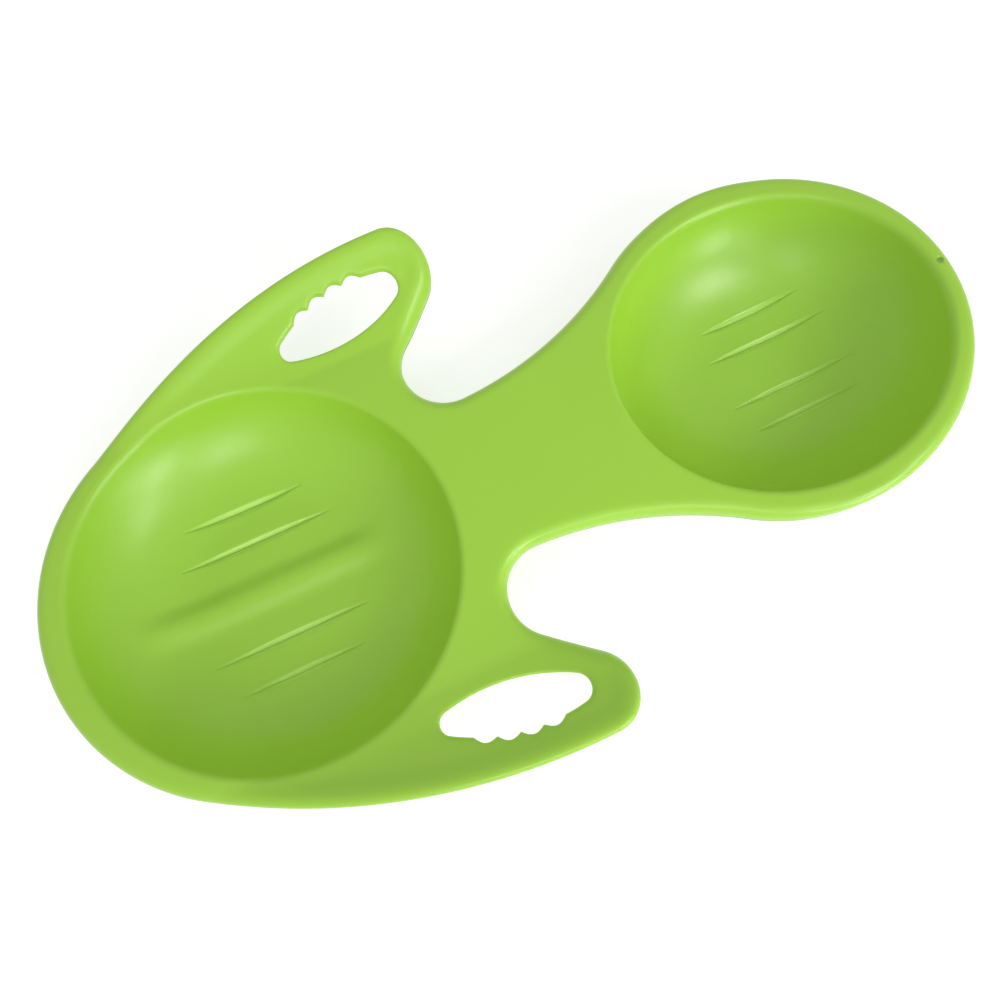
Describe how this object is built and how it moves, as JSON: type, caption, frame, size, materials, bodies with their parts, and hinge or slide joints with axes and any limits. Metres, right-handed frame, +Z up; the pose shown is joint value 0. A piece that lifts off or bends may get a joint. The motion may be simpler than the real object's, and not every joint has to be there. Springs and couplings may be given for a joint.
{
  "type": "snow slider",
  "caption": "Moulded plastic snow slider: an oval dished seat ahead of a round one, joined by a waist, with upswept wings that end in finger-slot grips, and moulded runners below.",
  "frame": {"origin": "on the ground, under the middle of the slider's length and width", "axes": "+X from the tail to the nose, +Y to the rider's left, +Z up, with the slider resting on its runners at z = 0"},
  "size_m": [0.93, 0.5174, 0.1218],
  "materials": {
    "lime_plastic": "smooth glossy lime green, the same on both sides"
  },
  "bodies": {
    "root": {"sled_body": "lime_plastic"}
  },
  "joints": []
}
